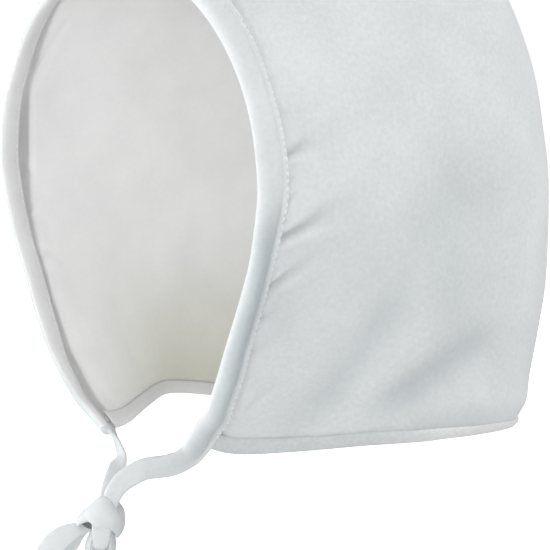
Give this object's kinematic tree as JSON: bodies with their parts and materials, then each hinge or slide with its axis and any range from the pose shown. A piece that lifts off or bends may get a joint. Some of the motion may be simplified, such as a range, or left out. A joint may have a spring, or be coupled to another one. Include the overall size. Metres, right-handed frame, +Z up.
{
  "type": "baby bonnet",
  "caption": "Soft rounded cap for a baby, open at the face and neck, with bound edges and strips tied in a bow under the chin.",
  "frame": {"origin": "the inside of the crown where it rests on the top of the wearer's head, on the centre line above the middle of the head", "axes": "+Z up along the worn cap's height; the wearer faces -Y, and +X is the wearer's left side"},
  "size_m": [0.129, 0.1729, 0.2307],
  "materials": {
    "left_panel_sateen": "smooth white cotton sateen with a soft sheen",
    "right_panel_sateen": "smooth white cotton sateen with a soft sheen",
    "face_binding_sateen": "smooth white cotton sateen with a soft sheen",
    "neck_binding_satin": "glossy white satin",
    "left_tie_sateen": "smooth white cotton sateen with a soft sheen",
    "right_tie_sateen": "smooth white cotton sateen with a soft sheen",
    "knot_sateen": "smooth white cotton sateen with a soft sheen",
    "left_loop_sateen": "smooth white cotton sateen with a soft sheen",
    "right_loop_sateen": "smooth white cotton sateen with a soft sheen",
    "left_end_sateen": "smooth white cotton sateen with a soft sheen",
    "right_end_sateen": "smooth white cotton sateen with a soft sheen"
  },
  "bodies": {
    "root": {"left_side_panel": "left_panel_sateen", "right_side_panel": "right_panel_sateen", "face_binding": "face_binding_sateen", "neck_binding": "neck_binding_satin", "chin_tie_left": "left_tie_sateen", "chin_tie_right": "right_tie_sateen", "bow_knot": "knot_sateen", "bow_loop_left": "left_loop_sateen", "bow_loop_right": "right_loop_sateen", "tie_end_left": "left_end_sateen", "tie_end_right": "right_end_sateen"}
  },
  "joints": []
}
